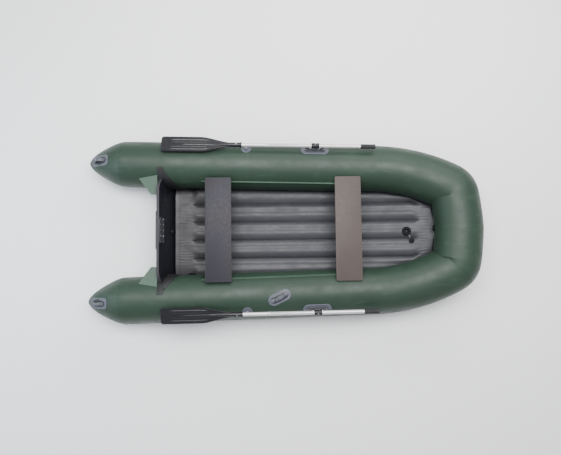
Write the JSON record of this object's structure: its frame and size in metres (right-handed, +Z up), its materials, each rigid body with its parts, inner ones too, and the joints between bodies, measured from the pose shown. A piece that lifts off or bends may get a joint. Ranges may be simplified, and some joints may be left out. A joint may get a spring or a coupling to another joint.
{
  "type": "inflatable boat",
  "caption": "Inflatable rowing boat with a raised bow, a raked transom, an air floor, sliding seat boards and stowed oars on swivelling oarlocks.",
  "frame": {"origin": "on the ground under the middle of the hull, half way between the cone tips and the bow's rubbing strip", "axes": "+X towards the bow, +Y to port, +Z up"},
  "size_m": [3.192, 1.5042, 0.5062],
  "materials": {
    "hull_fabric": "satin coated fabric",
    "flap_fabric": "satin coated fabric",
    "floor_fabric": "satin coated fabric",
    "strake_rubber": "matte",
    "transom_board": "black painted plywood",
    "transom_plate": "moulded",
    "holder_rubber": "matte",
    "valve_plastic": "moulded",
    "patch_rubber": "satin moulded",
    "seat_dark": "grey laminated plywood",
    "seat_warm": "warm grey laminated plywood",
    "slider_plastic": "moulded",
    "bracket_plastic": "moulded",
    "bar_steel": "brushed",
    "clip_plastic": "moulded",
    "oar_plastic": "moulded",
    "oar_tube": "anodised",
    "grip_foam": "matte"
  },
  "bodies": {
    "hull": {"port_side_tube": "hull_fabric", "starboard_side_tube": "hull_fabric", "bow_tube": "hull_fabric", "air_floor": "floor_fabric", "bottom_skin": "strake_rubber", "port_rub_strake": "strake_rubber", "starboard_rub_strake": "strake_rubber", "transom_board": "transom_board", "transom_outer_plate": "transom_plate", "transom_inner_plate": "transom_plate", "port_transom_holder": "holder_rubber", "starboard_transom_holder": "holder_rubber", "port_gusset": "flap_fabric", "starboard_gusset": "flap_fabric", "drain_valve_body": "valve_plastic", "floor_valve_body": "valve_plastic", "floor_valve_cap": "valve_plastic", "port_chamber_valve": "valve_plastic", "starboard_chamber_valve": "valve_plastic", "bow_chamber_valve": "valve_plastic", "port_seat_rail": "flap_fabric", "starboard_seat_rail": "flap_fabric", "port_cone_patch": "patch_rubber", "starboard_cone_patch": "patch_rubber", "port_cone_handle": "patch_rubber", "starboard_cone_handle": "patch_rubber", "carry_handle_patch": "patch_rubber", "carry_handle_grip": "patch_rubber", "port_oar_rest_patch": "patch_rubber", "starboard_oar_rest_patch": "patch_rubber", "port_oar_rest_hook": "bracket_plastic", "starboard_oar_rest_hook": "bracket_plastic", "port_oarlock_patch": "patch_rubber", "starboard_oarlock_patch": "patch_rubber", "port_oarlock_bracket": "bracket_plastic", "starboard_oarlock_bracket": "bracket_plastic", "port_oarlock_bar": "bar_steel", "starboard_oarlock_bar": "bar_steel"},
    "aft_seat": {"aft_seat_board": "seat_dark", "aft_seat_port_slider": "slider_plastic", "aft_seat_starboard_slider": "slider_plastic"},
    "forward_seat": {"forward_seat_board": "seat_warm", "forward_seat_port_slider": "slider_plastic", "forward_seat_starboard_slider": "slider_plastic"},
    "port_clip": {"port_oarlock_clip": "clip_plastic"},
    "port_oar": {"port_oar_clamp": "bracket_plastic", "port_oar_blade": "oar_plastic", "port_oar_lower_shaft": "oar_tube", "port_oar_upper_shaft": "oar_tube", "port_oar_grip": "grip_foam"},
    "port_button": {"port_oar_button": "bar_steel"},
    "starboard_clip": {"starboard_oarlock_clip": "clip_plastic"},
    "starboard_oar": {"starboard_oar_clamp": "bracket_plastic", "starboard_oar_blade": "oar_plastic", "starboard_oar_lower_shaft": "oar_tube", "starboard_oar_upper_shaft": "oar_tube", "starboard_oar_grip": "grip_foam"},
    "starboard_button": {"starboard_oar_button": "bar_steel"},
    "valve_stem": {"floor_valve_stem": "valve_plastic"},
    "drain_plug": {"drain_valve_plug": "valve_plastic"}
  },
  "joints": [
    {"name": "aft_seat_slide", "type": "slide", "parent": "hull", "child": "aft_seat", "axis": [1, 0, 0], "range_m": [0, 0.4]},
    {"name": "forward_seat_slide", "type": "slide", "parent": "hull", "child": "forward_seat", "axis": [1, 0, 0], "range_m": [-0.4, 0]},
    {"name": "port_oar_rock", "type": "hinge", "parent": "hull", "child": "port_clip", "pos_m": [0.24032, 0.6441, 0.3519], "axis": [1, 0, 0], "range_deg": [-15, 10]},
    {"name": "port_oar_swing", "type": "hinge", "parent": "port_clip", "child": "port_oar", "pos_m": [0.24032, 0.65553, 0.38709], "axis": [0, -0.309, -0.9511], "range_deg": [0, 110]},
    {"name": "starboard_oar_rock", "type": "hinge", "parent": "hull", "child": "starboard_clip", "pos_m": [0.24032, -0.6441, 0.3519], "axis": [-1, 0, 0], "range_deg": [-15, 10]},
    {"name": "starboard_oar_swing", "type": "hinge", "parent": "starboard_clip", "child": "starboard_oar", "pos_m": [0.24032, -0.65553, 0.38709], "axis": [0, -0.309, 0.9511], "range_deg": [0, 110]},
    {"name": "port_button_press", "type": "slide", "parent": "port_oar", "child": "port_button", "axis": [0, -0.309, -0.9511], "range_m": [0, 0.0025], "stiffness_N_per_m": 600},
    {"name": "starboard_button_press", "type": "slide", "parent": "starboard_oar", "child": "starboard_button", "axis": [0, 0.309, -0.9511], "range_m": [0, 0.0025], "stiffness_N_per_m": 600},
    {"name": "floor_valve_press", "type": "slide", "parent": "hull", "child": "valve_stem", "axis": [0.164, 0, -0.9865], "range_m": [0, 0.004], "stiffness_N_per_m": 500},
    {"name": "drain_plug_pull", "type": "slide", "parent": "hull", "child": "drain_plug", "axis": [0.9806, 0, 0.1961], "range_m": [0, 0.03]}
  ]
}
